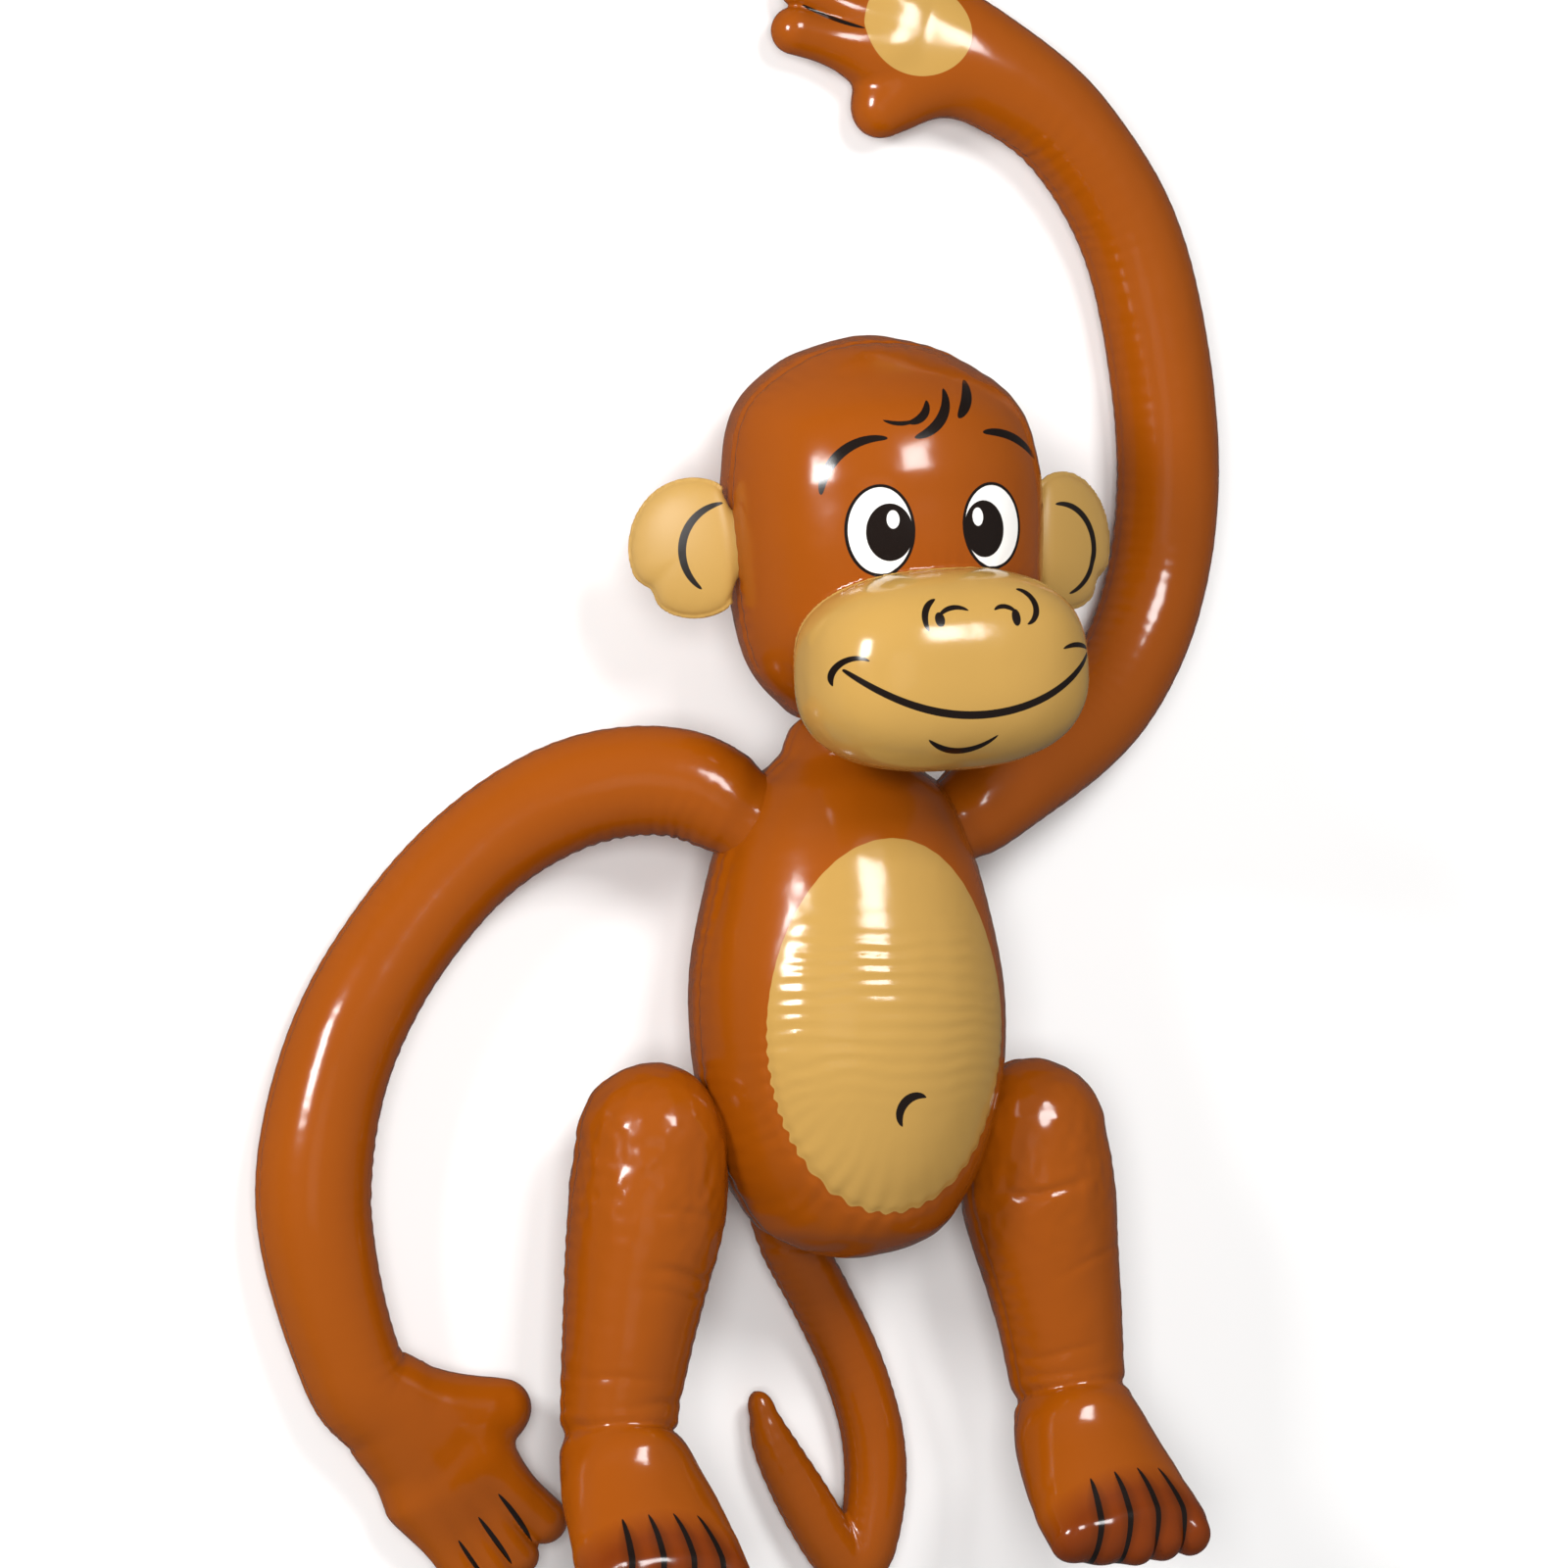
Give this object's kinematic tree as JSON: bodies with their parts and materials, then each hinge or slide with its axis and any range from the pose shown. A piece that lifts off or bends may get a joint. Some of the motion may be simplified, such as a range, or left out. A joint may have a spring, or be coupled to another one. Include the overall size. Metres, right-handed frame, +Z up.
{
  "type": "inflatable monkey",
  "caption": "Inflatable toy monkey lying on its back, with one long arm curved up over its head, the other hooked down at its side, bent feet and a tail that curls back on itself.",
  "frame": {"origin": "middle of the flat of the torso's back that rests on the floor", "axes": "+Z up, out of the belly; +Y towards the head; +X the monkey's own left, where the raised arm is"},
  "size_m": [0.3618, 0.5901, 0.1544],
  "materials": {
    "brown_vinyl": "glossy orange-brown vinyl film",
    "tan_vinyl": "glossy tan vinyl film",
    "clear_vinyl": "soft milky clear vinyl"
  },
  "bodies": {
    "root": {"head": "brown_vinyl", "torso": "brown_vinyl", "left_arm": "brown_vinyl", "right_arm": "brown_vinyl", "left_leg": "brown_vinyl", "right_leg": "brown_vinyl", "tail": "brown_vinyl", "left_ear": "tan_vinyl", "right_ear": "tan_vinyl", "valve": "clear_vinyl"}
  },
  "joints": []
}
